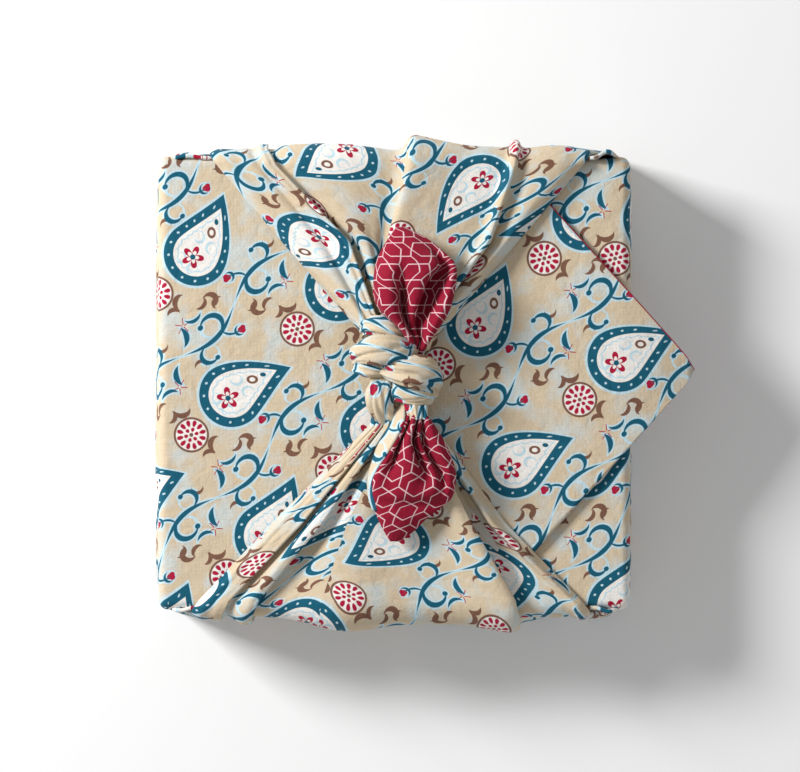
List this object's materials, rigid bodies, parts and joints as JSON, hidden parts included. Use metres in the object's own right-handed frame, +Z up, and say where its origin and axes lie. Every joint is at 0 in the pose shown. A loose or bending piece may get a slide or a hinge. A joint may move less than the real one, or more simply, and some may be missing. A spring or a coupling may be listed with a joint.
{
  "type": "furoshiki wrap on gift box",
  "caption": "Square printed cotton cloth folded round a flat gift box, with two gathered flaps tied in a square knot on top and a loose corner at one side.",
  "frame": {"origin": "centre of the parcel's flat underside", "axes": "+Z up through the knot, +X towards the loose corner of the over flap, +Y towards the far gathered flap"},
  "size_m": [0.2161, 0.1979, 0.0653],
  "materials": {
    "cotton_cloth": "matte",
    "box_board": "matte"
  },
  "bodies": {
    "root": {"furoshiki_cloth": "cotton_cloth", "gift_box": "box_board"}
  },
  "joints": []
}
